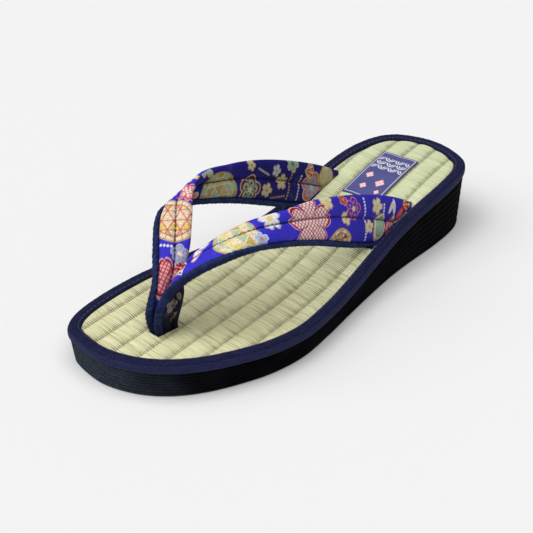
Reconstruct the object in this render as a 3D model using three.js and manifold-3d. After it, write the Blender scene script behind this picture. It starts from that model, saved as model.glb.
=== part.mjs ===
// Zori sandal, left foot: wedge sole, woven rush mat, cloth edge binding,
// padded cloth straps joined at the toe post, corded piping, woven label.
// Millimetres, +Z up, toe towards -Y, origin at the middle of the floor outline.
import * as THREE from 'three';
import ManifoldModule from 'manifold-3d';

const solids = await ManifoldModule();
solids.setup();

const LENGTH = 245;
const HALF = LENGTH / 2;
const GAP = 0.3;

const BINDING_WIDTH = 6.3;
const BINDING_SIDE = 3.8;
const BINDING_PROUD = 1.2;
const MAT_INSET = BINDING_WIDTH + GAP;
const MAT_THICK = 3.8;

const SOLE_TOP_DROP = BINDING_SIDE + 0.25;
const SOLE_INSET_TOP = 0.7;
const SOLE_TAPER = 1.1;
const SOLE_RIBS = 7;
const RIB_DEPTH = 0.5;
const SOLE_FOOT_RADIUS = 1.2;

const PIPING_WIDTH = 4.6;
const PIPING_HALF_THICK = 2.2;
const BAND_START = PIPING_WIDTH + GAP;
const BAND_LOBE = 2.1;
const BAND_SEAM = 1.2;
const BAND_EDGE = 0.9;
const STRAP_FOOT_DEPTH = 3.4;
const SLOT_CLEAR = 0.35;

const LABEL_WIDTH = 22.4;
const LABEL_LENGTH = 43;
const LABEL_THICK = 0.7;
const LABEL_CENTRE = { x: -6.2, y: 74.3 };

const WEAVE_TURN = THREE.MathUtils.degToRad(8);

const RING = 96;
const ACROSS = 4;
const STRAP_STEPS = 30;

// Plan of the bound edge. The station angle runs from toe tip to heel tip,
// y = -HALF cos(angle); inner is the big-toe side, outer the little-toe side.
const PLAN = [
  [0, -12.9, -12.9], [10, -29.1, -1.0], [20, -36.3, 11.7], [30, -40.9, 23.0],
  [40, -44.0, 32.3], [50, -46.2, 39.5], [60, -47.1, 45.2], [70, -45.8, 47.1],
  [80, -42.4, 44.3], [90, -38.4, 40.1], [100, -35.8, 36.2], [110, -36.2, 33.1],
  [120, -38.3, 31.6], [130, -39.2, 30.7], [140, -38.3, 29.0], [150, -35.0, 25.9],
  [160, -28.2, 19.6], [170, -16.5, 7.4], [180, -4.8, -4.8],
].map(([angle, inner, outer]) => ({ angle, inner, outer }));

// Height of the mat's top along the weave, toe to heel.
const RISE = [
  [-126, 18.5], [-99, 17.4], [-59, 15.8], [-35, 15.2], [-10, 16.5], [15, 20.9],
  [40, 26.6], [61, 30.9], [84, 34.1], [104, 35.5], [126, 36.3],
].map(([along, height]) => ({ along, height }));

// Strap edges from the toe post to the side slot. Front is the piped edge.
const COLUMNS = ['frontX', 'frontY', 'frontZ', 'rearX', 'rearY', 'rearZ'];
const named = (row) => Object.fromEntries(row.map((value, i) => [COLUMNS[i], value]));
const OUTER_STRAP = [
  [0.4, -93.2, 15.7, -1.8, -79.1, 16.6],
  [1.8, -94.6, 24.0, 0.8, -76.2, 31.1],
  [2.7, -92.5, 32.1, 0.0, -72.4, 41.7],
  [5.9, -87.4, 40.7, 0.0, -65.8, 49.8],
  [14.2, -79.6, 50.0, 5.3, -55.2, 57.5],
  [23.6, -69.3, 56.9, 13.1, -41.1, 63.2],
  [27.6, -56.5, 57.1, 17.0, -25.4, 63.5],
  [27.7, -42.4, 52.8, 17.3, -9.8, 60.3],
  [27.7, -28.2, 47.6, 17.8, 4.9, 56.6],
  [27.5, -13.6, 41.2, 18.4, 20.6, 51.8],
  [27.1, 1.1, 33.8, 19.4, 37.1, 45.6],
  [26.4, 14.8, 27.0, 20.5, 52.7, 38.4],
  [25.7, 26.1, 22.4, 21.8, 65.4, 30.8],
].map(named);
const INNER_STRAP = [
  [-3.4, -93.2, 15.7, -1.2, -79.1, 16.6],
  [-4.3, -94.6, 24.0, -3.8, -76.2, 31.1],
  [-4.6, -92.5, 32.2, -3.0, -72.3, 41.8],
  [-7.2, -87.3, 40.9, -3.9, -66.5, 50.7],
  [-15.0, -79.5, 50.3, -11.3, -57.8, 59.9],
  [-24.5, -69.0, 57.4, -22.2, -46.0, 67.4],
  [-28.4, -56.0, 57.8, -27.9, -31.9, 68.7],
  [-28.0, -41.7, 53.7, -29.2, -17.2, 66.0],
  [-27.4, -27.2, 48.7, -29.9, -2.6, 62.4],
  [-27.1, -12.3, 42.6, -30.0, 13.7, 56.9],
  [-26.9, 2.8, 35.5, -29.6, 31.9, 49.3],
  [-26.4, 16.8, 29.0, -29.0, 49.7, 40.5],
  [-25.2, 28.6, 24.6, -29.0, 64.4, 31.7],
].map(named);

// Cubic through evenly spaced values, p1 to p2 at u in 0..1.
function cubic(p0, p1, p2, p3, u) {
  const a = 0.5 * (p2 - p0);
  const b = 0.5 * (p3 - p1);
  const d = p1 - p2;
  return ((2 * d + a + b) * u - (3 * d + 2 * a + b)) * u * u + a * u + p1;
}

// Bound edge as one closed curve: 0 at the toe tip, inner side first.
const loopX = [
  ...PLAN.map((s) => s.inner),
  ...PLAN.slice(1, -1).reverse().map((s) => s.outer),
];
function edgePoint(turn) {
  const n = loopX.length;
  const f = (((turn / (2 * Math.PI)) % 1) + 1) % 1 * n;
  const i = Math.floor(f);
  const at = (k) => loopX[(k + n) % n];
  return new THREE.Vector2(
    cubic(at(i - 1), at(i), at(i + 1), at(i + 2), f - i),
    -HALF * Math.cos(turn),
  );
}
function edgeRing(inset) {
  const ring = [];
  for (let i = 0; i < RING; i += 1) {
    const turn = (2 * Math.PI * i) / RING;
    const ahead = edgePoint(turn + 0.01).sub(edgePoint(turn - 0.01)).normalize();
    const here = edgePoint(turn);
    ring.push(new THREE.Vector2(here.x - ahead.y * -inset, here.y + ahead.x * -inset));
  }
  return ring;
}

function matTop(x, y) {
  const along = -1.2 - Math.sin(WEAVE_TURN) * x + Math.cos(WEAVE_TURN) * y;
  const last = RISE.length - 2;
  let i = RISE.findIndex((r, k) => k > 0 && along < r.along) - 1;
  if (i < 0) i = along < 0 ? 0 : last;
  const slope = (k) => {
    const a = RISE[Math.max(k - 1, 0)];
    const b = RISE[Math.min(k + 1, RISE.length - 1)];
    return (b.height - a.height) / (b.along - a.along);
  };
  const span = RISE[i + 1].along - RISE[i].along;
  const u = THREE.MathUtils.clamp((along - RISE[i].along) / span, 0, 1);
  const p1 = RISE[i].height;
  const p2 = RISE[i + 1].height;
  const a = slope(i) * span;
  const b = slope(i + 1) * span;
  const d = p1 - p2;
  return ((2 * d + a + b) * u - (3 * d + 2 * a + b)) * u * u + a * u + p1;
}

function geometryOf(points, faces) {
  const geometry = new THREE.BufferGeometry();
  geometry.setAttribute('position', new THREE.Float32BufferAttribute(points.flat(), 3));
  geometry.setIndex(faces.flat());
  return geometry;
}

// Stack of plan rings, floor side first, closed by a grid cap at each end.
function stack(rows) {
  const points = [];
  const faces = [];
  const rings = rows.map((row) => {
    const start = points.length;
    edgeRing(row.inset).forEach((p) => points.push([p.x, p.y, row.height(p.x, p.y)]));
    return start;
  });
  for (let r = 0; r + 1 < rings.length; r += 1) {
    for (let i = 0; i < RING; i += 1) {
      const j = (i + 1) % RING;
      const [a, b, c, d] = [rings[r] + i, rings[r] + j, rings[r + 1] + j, rings[r + 1] + i];
      faces.push([a, c, b], [a, d, c]);
    }
  }
  const cap = (start, row, up) => {
    const put = (a, b, c) => faces.push(up ? [a, c, b] : [a, b, c]);
    const line = (k) => {
      const l = points[start + k];
      const r = points[start + RING - k];
      const ids = [start + k];
      for (let m = 1; m < ACROSS; m += 1) {
        const x = l[0] + ((r[0] - l[0]) * m) / ACROSS;
        const y = l[1] + ((r[1] - l[1]) * m) / ACROSS;
        ids.push(points.length);
        points.push([x, y, row.height(x, y)]);
      }
      ids.push(start + RING - k);
      return ids;
    };
    let before = line(1);
    for (let m = 0; m < ACROSS; m += 1) put(start, before[m], before[m + 1]);
    for (let k = 2; k < RING / 2; k += 1) {
      const now = line(k);
      for (let m = 0; m < ACROSS; m += 1) {
        put(before[m], now[m], now[m + 1]);
        put(before[m], now[m + 1], before[m + 1]);
      }
      before = now;
    }
    for (let m = 0; m < ACROSS; m += 1) put(start + RING / 2, before[m + 1], before[m]);
  };
  cap(rings[0], rows[0], false);
  cap(rings[rings.length - 1], rows[rows.length - 1], true);
  return geometryOf(points, faces);
}

// Closed loop of one section swept around the plan.
function hoop(section) {
  const points = [];
  const faces = [];
  section.forEach(({ inset, rise }) => edgeRing(inset).forEach((p) => {
    points.push([p.x, p.y, matTop(p.x, p.y) + rise]);
  }));
  const n = section.length;
  for (let r = 0; r < n; r += 1) {
    for (let i = 0; i < RING; i += 1) {
      const j = (i + 1) % RING;
      const s = (r + 1) % n;
      faces.push([r * RING + i, s * RING + j, r * RING + j]);
      faces.push([r * RING + i, s * RING + i, s * RING + j]);
    }
  }
  return geometryOf(points, faces);
}

// Skin over a list of closed sections with flat fans at both ends.
function skin(sections) {
  const n = sections[0].length;
  const points = sections.flat().map((p) => [p.x, p.y, p.z]);
  const faces = [];
  for (let r = 0; r + 1 < sections.length; r += 1) {
    for (let i = 0; i < n; i += 1) {
      const j = (i + 1) % n;
      const [a, b, c, d] = [r * n + i, r * n + j, (r + 1) * n + j, (r + 1) * n + i];
      faces.push([a, b, c], [a, c, d]);
    }
  }
  const end = (sections.length - 1) * n;
  const middle = (list) => list.reduce((s, p) => s.add(p), new THREE.Vector3()).divideScalar(n);
  [sections[0], sections[sections.length - 1]].forEach((list) => {
    const m = middle(list);
    points.push([m.x, m.y, m.z]);
  });
  for (let i = 0; i < n; i += 1) {
    const j = (i + 1) % n;
    faces.push([points.length - 2, j, i], [points.length - 1, end + i, end + j]);
  }
  return geometryOf(points, faces);
}

function asSolid(geometry) {
  const vertProperties = new Float32Array(geometry.attributes.position.array);
  const triVerts = new Uint32Array(geometry.index.array);
  const solid = new solids.Manifold(new solids.Mesh({ numProp: 3, vertProperties, triVerts }));
  return solid.volume() < 0 ? flipped(geometry) : solid;
}
function flipped(geometry) {
  const index = Array.from(geometry.index.array);
  for (let i = 0; i < index.length; i += 3) [index[i], index[i + 1]] = [index[i + 1], index[i]];
  const turned = geometry.clone();
  turned.setIndex(index);
  return asSolid(turned);
}
function asGeometry(solid) {
  const mesh = solid.getMesh();
  const geometry = new THREE.BufferGeometry();
  geometry.setAttribute('position', new THREE.Float32BufferAttribute(mesh.vertProperties, 3));
  geometry.setIndex(Array.from(mesh.triVerts));
  return geometry;
}

// Stations along one strap: both edges, unit width and unit face direction.
function strapStations(table) {
  const edge = (side, u) => {
    const f = u * (table.length - 1);
    const i = Math.min(Math.floor(f), table.length - 2);
    const at = (k, axis) => {
      const k0 = THREE.MathUtils.clamp(k, 0, table.length - 1);
      return table[k0][side + axis];
    };
    return new THREE.Vector3(...['X', 'Y', 'Z'].map((axis) => cubic(
      at(i - 1, axis), at(i, axis), at(i + 1, axis), at(i + 2, axis), f - i,
    )));
  };
  const rows = [];
  const foot = (p) => new THREE.Vector3(p.x, p.y, matTop(p.x, p.y) - STRAP_FOOT_DEPTH);
  for (let i = 0; i <= STRAP_STEPS; i += 1) {
    const u = i / STRAP_STEPS;
    rows.push({ u, front: edge('front', u), rear: edge('rear', u) });
  }
  const first = rows[0];
  const last = rows[STRAP_STEPS];
  rows.unshift({ u: 0, front: foot(first.front), rear: foot(first.rear) });
  rows.push({ u: 1, front: foot(last.front), rear: foot(last.rear) });
  const mid = (r) => r.front.clone().add(r.rear).multiplyScalar(0.5);
  rows.forEach((row, i) => {
    const a = rows[Math.max(i - 1, 0)];
    const b = rows[Math.min(i + 1, rows.length - 1)];
    row.wide = row.rear.clone().sub(row.front);
    row.width = row.wide.length();
    row.wide.divideScalar(row.width);
    row.face = mid(b).sub(mid(a)).cross(row.wide).normalize();
  });
  return rows;
}

// Padded band: two puffed halves either side of the middle seam.
const BAND_SECTION = [
  [0, BAND_EDGE], [0.1, 1.7], [0.28, BAND_LOBE], [0.5, BAND_SEAM],
  [0.72, BAND_LOBE], [0.9, 1.7], [1, BAND_EDGE],
].map(([across, half]) => ({ across, half }));
function bandSections(rows) {
  return rows.map((row) => {
    const thin = THREE.MathUtils.lerp(0.75, 1, THREE.MathUtils.smoothstep(row.u, 0, 0.16));
    const at = ({ across, half }, sign) => row.front.clone()
      .addScaledVector(row.wide, BAND_START + (row.width - BAND_START) * across)
      .addScaledVector(row.face, sign * half * thin);
    return [
      ...BAND_SECTION.map((s) => at(s, 1)),
      ...BAND_SECTION.slice().reverse().map((s) => at(s, -1)),
    ];
  });
}
function pipingSections(rows) {
  const sides = 10;
  return rows.map((row) => {
    const half = THREE.MathUtils.lerp(1.5, PIPING_HALF_THICK, THREE.MathUtils.smoothstep(row.u, 0, 0.14));
    const ring = [];
    for (let i = 0; i < sides; i += 1) {
      const a = (2 * Math.PI * i) / sides;
      ring.push(row.front.clone()
        .addScaledVector(row.wide, (PIPING_WIDTH / 2) * (1 - Math.cos(a)))
        .addScaledVector(row.face, half * Math.sin(a)));
    }
    return ring;
  });
}

// Upright cutter through the mat around a strap foot.
function slotCutter(front, rear, left, right) {
  const along = new THREE.Vector3(rear.x - front.x, rear.y - front.y, 0).normalize();
  const side = new THREE.Vector3(along.y, -along.x, 0);
  const corner = (p, step, off) => p.clone().addScaledVector(along, step).addScaledVector(side, off);
  const plan = [
    corner(front, -SLOT_CLEAR, -left), corner(front, -SLOT_CLEAR, right),
    corner(rear, SLOT_CLEAR, right), corner(rear, SLOT_CLEAR, -left),
  ];
  return asSolid(skin([-8, 6].map((lift) => plan.map((p) => new THREE.Vector3(p.x, p.y, p.z + lift)))));
}

const outerRows = strapStations(OUTER_STRAP);
const innerRows = strapStations(INNER_STRAP);

const soleTop = (x, y) => matTop(x, y) - SOLE_TOP_DROP;
const soleRows = [
  { inset: SOLE_INSET_TOP + SOLE_TAPER + SOLE_FOOT_RADIUS, height: () => 0 },
  { inset: SOLE_INSET_TOP + SOLE_TAPER + 0.3, height: () => 0.35 },
];
for (let k = 0; k <= 2 * SOLE_RIBS; k += 1) {
  const level = k / (2 * SOLE_RIBS);
  const valley = k % 2 === 1 ? RIB_DEPTH : 0;
  soleRows.push({
    inset: SOLE_INSET_TOP + SOLE_TAPER * (1 - level) + valley,
    height: (x, y) => SOLE_FOOT_RADIUS + (soleTop(x, y) - SOLE_FOOT_RADIUS) * level,
  });
}
const sole = stack(soleRows);

const matBlock = stack([
  { inset: MAT_INSET, height: (x, y) => matTop(x, y) - MAT_THICK },
  { inset: MAT_INSET, height: (x, y) => matTop(x, y) },
]);
const footOf = (rows) => rows[rows.length - 2];
const toe = {
  front: outerRows[1].front.clone().add(innerRows[1].front).multiplyScalar(0.5),
  rear: outerRows[1].rear.clone().add(innerRows[1].rear).multiplyScalar(0.5),
};
const reach = BAND_LOBE + 0.2 + SLOT_CLEAR;
const mat = asGeometry(asSolid(matBlock)
  .subtract(slotCutter(toe.front, toe.rear, 3.9, 3.9))
  .subtract(slotCutter(footOf(outerRows).front, footOf(outerRows).rear, reach, reach + 2.5))
  .subtract(slotCutter(footOf(innerRows).front, footOf(innerRows).rear, reach, reach)));

const binding = hoop([
  [0.5, -BINDING_SIDE], [0, -3.1], [-0.05, -1.2], [0.25, 0.2], [1.1, BINDING_PROUD - 0.1],
  [3.2, BINDING_PROUD + 0.1], [5.2, BINDING_PROUD - 0.1], [BINDING_WIDTH, 0.1],
  [BINDING_WIDTH, -BINDING_SIDE],
].map(([inset, rise]) => ({ inset, rise })));

const hanao = asGeometry(asSolid(skin(bandSections(outerRows)))
  .add(asSolid(skin(bandSections(innerRows)))));
const pipingOuter = asGeometry(asSolid(skin(pipingSections(outerRows))));
const pipingInner = asGeometry(asSolid(skin(pipingSections(innerRows))));

function labelGeometry() {
  const steps = { wide: 4, long: 8 };
  const along = new THREE.Vector2(-Math.sin(WEAVE_TURN), Math.cos(WEAVE_TURN));
  const across = new THREE.Vector2(Math.cos(WEAVE_TURN), Math.sin(WEAVE_TURN));
  const slice = (j) => {
    const s = (j / steps.long - 0.5) * LABEL_LENGTH;
    const spot = (i, lift) => {
      const c = (i / steps.wide - 0.5) * LABEL_WIDTH;
      const x = LABEL_CENTRE.x + along.x * s + across.x * c;
      const y = LABEL_CENTRE.y + along.y * s + across.y * c;
      return new THREE.Vector3(x, y, matTop(x, y) + lift);
    };
    const ring = [];
    for (let i = 0; i <= steps.wide; i += 1) ring.push(spot(i, 0.25));
    for (let i = steps.wide; i >= 0; i -= 1) ring.push(spot(i, 0.25 + LABEL_THICK));
    return ring;
  };
  return asGeometry(asSolid(skin(Array.from({ length: steps.long + 1 }, (_, j) => slice(j)))));
}

const COLOURS = {
  sole: 0x1b1b1f, mat: 0xb9bd86, edge_binding: 0x26264a, hanao: 0x2c2a9c,
  piping_outer: 0x1f2350, piping_inner: 0x1f2350, label: 0x555a94,
};
const shapes = {
  sole: asGeometry(asSolid(sole)),
  mat,
  edge_binding: asGeometry(asSolid(binding)),
  hanao,
  piping_outer: pipingOuter,
  piping_inner: pipingInner,
  label: labelGeometry(),
};

const part = new THREE.Group();
part.name = 'zori_sandal';
Object.entries(shapes).forEach(([name, geometry]) => {
  const mesh = new THREE.Mesh(geometry, new THREE.MeshStandardMaterial({ color: COLOURS[name] }));
  mesh.name = name;
  part.add(mesh);
});

export default part;
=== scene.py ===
# A left zori sandal, put together from the floor up: ribbed foam wedge, woven
# rush mat, bound edge, padded printed straps, corded piping and a cloth label.
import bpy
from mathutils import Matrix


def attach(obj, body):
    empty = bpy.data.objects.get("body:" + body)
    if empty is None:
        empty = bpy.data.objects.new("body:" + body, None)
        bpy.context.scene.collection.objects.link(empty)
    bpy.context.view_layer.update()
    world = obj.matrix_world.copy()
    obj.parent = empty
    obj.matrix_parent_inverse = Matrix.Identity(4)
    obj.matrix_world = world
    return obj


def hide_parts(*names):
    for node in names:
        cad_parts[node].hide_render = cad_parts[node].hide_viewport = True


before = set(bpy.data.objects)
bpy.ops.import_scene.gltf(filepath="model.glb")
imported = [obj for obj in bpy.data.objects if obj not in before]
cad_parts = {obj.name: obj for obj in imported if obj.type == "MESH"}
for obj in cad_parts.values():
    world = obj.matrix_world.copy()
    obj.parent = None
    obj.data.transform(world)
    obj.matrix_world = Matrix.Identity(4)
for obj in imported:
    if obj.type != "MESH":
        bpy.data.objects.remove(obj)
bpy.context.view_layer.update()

import math

import bpy
import numpy as np
from mathutils import Matrix, Vector

# Camera: a long lens above the little-toe side of the toe, looking along the
# sandal from toe to heel. It is fixed on its own, with no shift and no blur.
VIEW_AZIMUTH = math.radians(45.211)
VIEW_ELEVATION = math.radians(32.736)
VIEW_ROLL = math.radians(-0.862)
VIEW_TARGET = Vector((-0.00106, -0.02008, 0.0200))
VIEW_DISTANCE = 0.52364
VIEW_LENS = 71.01
SENSOR_WIDTH = 36.0

scene = bpy.context.scene
view_back = Vector((
    math.sin(VIEW_AZIMUTH) * math.cos(VIEW_ELEVATION),
    -math.cos(VIEW_AZIMUTH) * math.cos(VIEW_ELEVATION),
    math.sin(VIEW_ELEVATION),
))
view_right = Vector((math.cos(VIEW_AZIMUTH), math.sin(VIEW_AZIMUTH), 0.0))
view_up = view_back.cross(view_right)
rolled_right = view_right * math.cos(VIEW_ROLL) + view_up * math.sin(VIEW_ROLL)
rolled_up = view_up * math.cos(VIEW_ROLL) - view_right * math.sin(VIEW_ROLL)
camera_data = bpy.data.cameras.new("photo_camera")
camera_data.lens = VIEW_LENS
camera_data.sensor_width = SENSOR_WIDTH
camera_data.clip_start = 0.01
camera = bpy.data.objects.new("photo_camera", camera_data)
turn_in = Matrix((rolled_right, rolled_up, view_back)).transposed().to_4x4()
camera.matrix_world = Matrix.Translation(VIEW_TARGET + view_back * VIEW_DISTANCE) @ turn_in
scene.collection.objects.link(camera)
scene.camera = camera

# Floor and lamps: a pale studio sweep under a wide soft key from the toe side,
# a wider overhead lamp and an even white surround.
FLOOR_HALF = 40.0
FLOOR_TONE = (0.775, 0.775, 0.775, 1.0)
LAMPS = {
    "key": {"from": (-0.44, -0.52, 0.73), "energy": 1.35, "angle": 56.0},
    "overhead": {"from": (0.16, -0.20, 0.96), "energy": 2.25, "angle": 70.0},
}
SURROUND_STRENGTH = 0.16

scene.view_settings.view_transform = "Standard"
floor_mesh = bpy.data.meshes.new("floor")
floor_mesh.from_pydata(
    [(x * FLOOR_HALF, y * FLOOR_HALF, 0.0) for x, y in ((-1, -1), (1, -1), (1, 1), (-1, 1))],
    [], [(0, 1, 2, 3)],
)
floor = bpy.data.objects.new("floor", floor_mesh)
scene.collection.objects.link(floor)
floor_paper = bpy.data.materials.new("floor_paper")
floor_paper.use_nodes = True
floor_shader = floor_paper.node_tree.nodes["Principled BSDF"]
floor_shader.inputs["Base Color"].default_value = FLOOR_TONE
floor_shader.inputs["Roughness"].default_value = 0.9
floor_shader.inputs["Specular IOR Level"].default_value = 0.1
floor_mesh.materials.append(floor_paper)
for lamp_name, lamp in LAMPS.items():
    lamp_data = bpy.data.lights.new(lamp_name, "SUN")
    lamp_data.energy = lamp["energy"]
    lamp_data.angle = math.radians(lamp["angle"])
    lamp_object = bpy.data.objects.new(lamp_name, lamp_data)
    lamp_object.rotation_euler = Vector(lamp["from"]).to_track_quat("Z", "Y").to_euler()
    scene.collection.objects.link(lamp_object)
surround = bpy.data.worlds.new("surround")
surround.use_nodes = True
surround.node_tree.nodes["Background"].inputs["Color"].default_value = (1.0, 1.0, 1.0, 1.0)
surround.node_tree.nodes["Background"].inputs["Strength"].default_value = SURROUND_STRENGTH
scene.world = surround

# Sole: a wedge of black foam rubber, cut to the plan of the sandal and moulded
# with fine level ribs round its wall. The insole board is glued on top of it.
MM = 0.001
HALF_LENGTH = 122.5
OUTLINE_X = np.array([
    -12.9, -29.1, -36.3, -40.9, -44.0, -46.2, -47.1, -45.8, -42.4, -38.4, -35.8, -36.2,
    -38.3, -39.2, -38.3, -35.0, -28.2, -16.5, -4.8, 7.4, 19.6, 25.9, 29.0, 30.7,
    31.6, 33.1, 36.2, 40.1, 44.3, 47.1, 45.2, 39.5, 32.3, 23.0, 11.7, -1.0,
])
RISE_ALONG = np.array([-126, -99, -59, -35, -10, 15, 40, 61, 84, 104, 126.0])
RISE_HEIGHT = np.array([18.5, 17.4, 15.8, 15.2, 16.5, 20.9, 26.6, 30.9, 34.1, 35.5, 36.3])
RISE_SHIFT = -1.2
WEAVE_TURN = math.radians(8.0)
SOLE_TOP_DROP = 4.05
SOLE_INSET_TOP = 0.7
SOLE_TAPER = 1.1
SOLE_RIBS = 7
SOLE_RIB_DEPTH = 0.6
SOLE_FOOT_RADIUS = 1.2
SOLE_RING = 420
SOLE_ROWS_PER_RIB = 9
SOLE_BLACK = (0.0018, 0.0019, 0.0026, 1.0)
SOLE_SCUFF = (0.0050, 0.0054, 0.0070, 1.0)
# painted light: the paler blue-grey given to the toe and big-toe side, which face the key lamp
SOLE_TOE_LIGHT = (0.050, 0.064, 0.088, 1.0)


def through(values, place, closed):
    """Smooth curve through evenly spaced values: a cubic between each pair,
    whose slopes are half the step between the neighbours on either side."""
    count = len(values)
    if closed:
        first = np.floor(place).astype(int)
        at = lambda k: values[(first + k) % count]
    else:
        first = np.minimum(np.floor(place).astype(int), count - 2)
        at = lambda k: values[np.clip(first + k, 0, count - 1)]
    t = place - first
    if values.ndim > 1:
        t = t[..., None]
    before, here, there, after = at(-1), at(0), at(1), at(2)
    slope_here = 0.5 * (there - before)
    slope_there = 0.5 * (after - here)
    drop = here - there
    bend = 2 * drop + slope_here + slope_there
    return ((bend * t - (bend + drop + slope_here)) * t * t) + slope_here * t + here


def plan_edge(turn):
    """Outline of the sandal seen from above: y is the cosine of the turn, and
    x the closed curve through OUTLINE_X, from the toe tip by the big-toe side."""
    place = (turn / (2 * np.pi) * len(OUTLINE_X)) % len(OUTLINE_X)
    return np.stack([through(OUTLINE_X, place, True), -HALF_LENGTH * np.cos(turn)], -1)


def plan_ring(turn, inset):
    """The outline moved inwards by inset, square to its own direction."""
    ahead = plan_edge(turn + 0.01) - plan_edge(turn - 0.01)
    ahead /= np.linalg.norm(ahead, axis=-1, keepdims=True)
    inward = np.stack([ahead[..., 1], -ahead[..., 0]], -1)
    return plan_edge(turn) + np.asarray(inset)[..., None] * inward


def mat_top(x, y):
    """Height of the footbed: a smooth curve of the distance along the weave,
    low under the ball of the foot and rising to the heel."""
    along = RISE_SHIFT - math.sin(WEAVE_TURN) * x + math.cos(WEAVE_TURN) * y
    k = np.clip(np.searchsorted(RISE_ALONG, along, side="right") - 1, 0, len(RISE_ALONG) - 2)
    lower, upper = np.maximum(np.arange(len(RISE_ALONG)) - 1, 0), np.arange(len(RISE_ALONG)) + 1
    upper = np.minimum(upper, len(RISE_ALONG) - 1)
    slope = (RISE_HEIGHT[upper] - RISE_HEIGHT[lower]) / (RISE_ALONG[upper] - RISE_ALONG[lower])
    span = RISE_ALONG[k + 1] - RISE_ALONG[k]
    t = np.clip((along - RISE_ALONG[k]) / span, 0, 1)
    rise, fall = slope[k] * span, slope[k + 1] * span
    drop = RISE_HEIGHT[k] - RISE_HEIGHT[k + 1]
    bend = 2 * drop + rise + fall
    return (bend * t - (bend + drop + rise)) * t * t + rise * t + RISE_HEIGHT[k]


def tube_faces(rows, around):
    """Quads of a stack of closed rings, each joined to the next."""
    r = np.arange(rows - 1)[:, None] * around
    i = np.arange(around)[None, :]
    j = (i + 1) % around
    return np.stack([r + i, r + j, r + around + j, r + around + i], -1).reshape(-1, 4)


def end_faces(start, around, last):
    """Lid over one ring: quads across from each point to its opposite number,
    with a triangle at either tip."""
    i = np.arange(1, around // 2 - 1)
    quads = np.stack([i, i + 1, around - i - 1, around - i], -1) + start
    half = around // 2
    tips = np.array([[0, 1, around - 1], [half, half + 1, half - 1]]) + start
    return [quads[:, ::-1], tips[:, ::-1]] if not last else [quads, tips]


def put_tube(name, points, **fields):
    """Piece from a stack of closed rings, with a lid over the first and last."""
    rows, around = points.shape[:2]
    faces = [tube_faces(rows, around)] + end_faces(0, around, False)
    faces += end_faces((rows - 1) * around, around, True)
    return put_piece(name, points.reshape(-1, 3), faces, **fields)


def put_piece(name, points, faces, **fields):
    """Object from points in millimetres and lists of faces, turned so that the
    space it closes is positive; fields are values kept on its points."""
    quads = faces[0]
    corner = [points[quads[:, k]] for k in range(4)]
    space = sum(
        np.einsum("ij,ij->", corner[0], np.cross(corner[k], corner[k + 1])) for k in (1, 2)
    )
    mesh = bpy.data.meshes.new(name)
    lists = [face for group in faces for face in np.asarray(group).tolist()]
    if space < 0:
        lists = [face[::-1] for face in lists]
    mesh.from_pydata((points * MM).tolist(), [], lists)
    mesh.polygons.foreach_set("use_smooth", np.ones(len(mesh.polygons), dtype=bool))
    for key, values in fields.items():
        colour = values.shape[-1] == 4
        field = mesh.attributes.new(key, "FLOAT_COLOR" if colour else "FLOAT_VECTOR", "POINT")
        field.data.foreach_set("color" if colour else "vector", np.ravel(values).astype(np.float32))
    mesh.update()
    piece = bpy.data.objects.new(name, mesh)
    scene.collection.objects.link(piece)
    return piece


class Val:
    """A number that changes over a surface. + - * / and their reflected forms
    each add a Math node; the named methods add the other kinds."""

    def __init__(self, finish, socket):
        self.finish, self.socket = finish, socket

    def math(self, operation, *others):
        sockets = dict(enumerate((self,) + others))
        return self.finish.node("ShaderNodeMath", {"operation": operation}, sockets)

    def swapped(self, operation, other):
        return self.finish.node("ShaderNodeMath", {"operation": operation}, {0: other, 1: self})

    def __add__(self, other): return self.math("ADD", other)
    def __radd__(self, other): return self.math("ADD", other)
    def __sub__(self, other): return self.math("SUBTRACT", other)
    def __rsub__(self, other): return self.swapped("SUBTRACT", other)
    def __mul__(self, other): return self.math("MULTIPLY", other)
    def __rmul__(self, other): return self.math("MULTIPLY", other)
    def __truediv__(self, other): return self.math("DIVIDE", other)
    def __rtruediv__(self, other): return self.swapped("DIVIDE", other)

    def step(self, low, high):
        """0 below low, 1 above high, smooth between; high may be the smaller."""
        return self.finish.node(
            "ShaderNodeMapRange", {"interpolation_type": "SMOOTHSTEP"},
            {"Value": self, "From Min": low, "From Max": high},
        )

    def spread(self, low, high, least, most):
        """Least at low and most at high, straight between."""
        sockets = {"From Min": low, "From Max": high, "To Min": least, "To Max": most}
        return self.finish.node("ShaderNodeMapRange", {}, {"Value": self, **sockets})


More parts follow.
